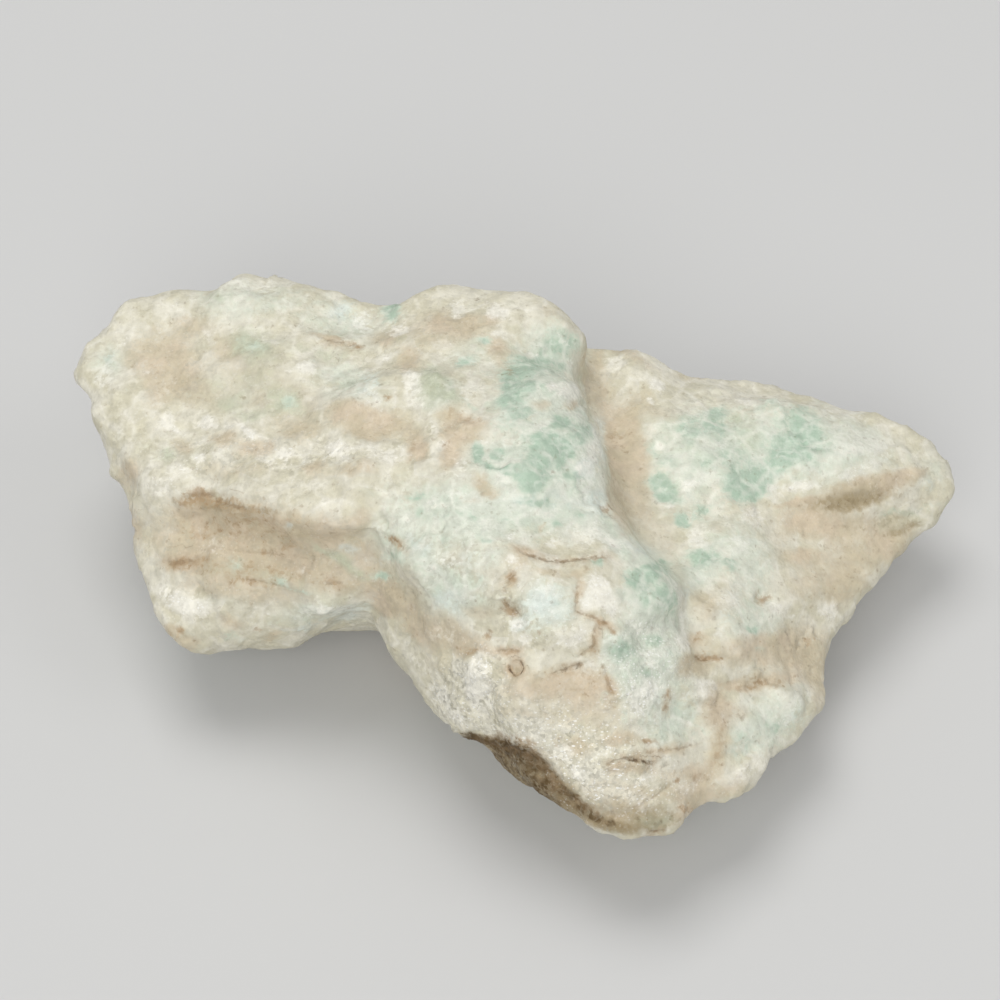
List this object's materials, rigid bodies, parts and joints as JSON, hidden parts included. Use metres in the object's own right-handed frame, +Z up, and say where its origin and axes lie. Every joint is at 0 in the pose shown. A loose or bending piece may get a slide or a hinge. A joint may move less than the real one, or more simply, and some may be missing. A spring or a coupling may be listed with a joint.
{
  "type": "raw amazonite",
  "caption": "Rough unpolished lump of pale green amazonite feldspar with an overhanging lobe, a blunt nose and a low side lobe, resting on a small flat spot.",
  "frame": {"origin": "middle of the lump's box in plan, at the height of the flat spot it rests on", "axes": "+X along the lump from the west lobe to the east lobe, the nose points to -Y, +Z up from the flat spot"},
  "size_m": [0.0546, 0.0372, 0.0179],
  "materials": {
    "amazonite": "raw broken feldspar, sugary grain: pale cream to white with green and blue-green patches, tan iron staining in the hollows and cracks, dull with small glints"
  },
  "bodies": {
    "root": {"raw_amazonite": "amazonite"}
  },
  "joints": []
}
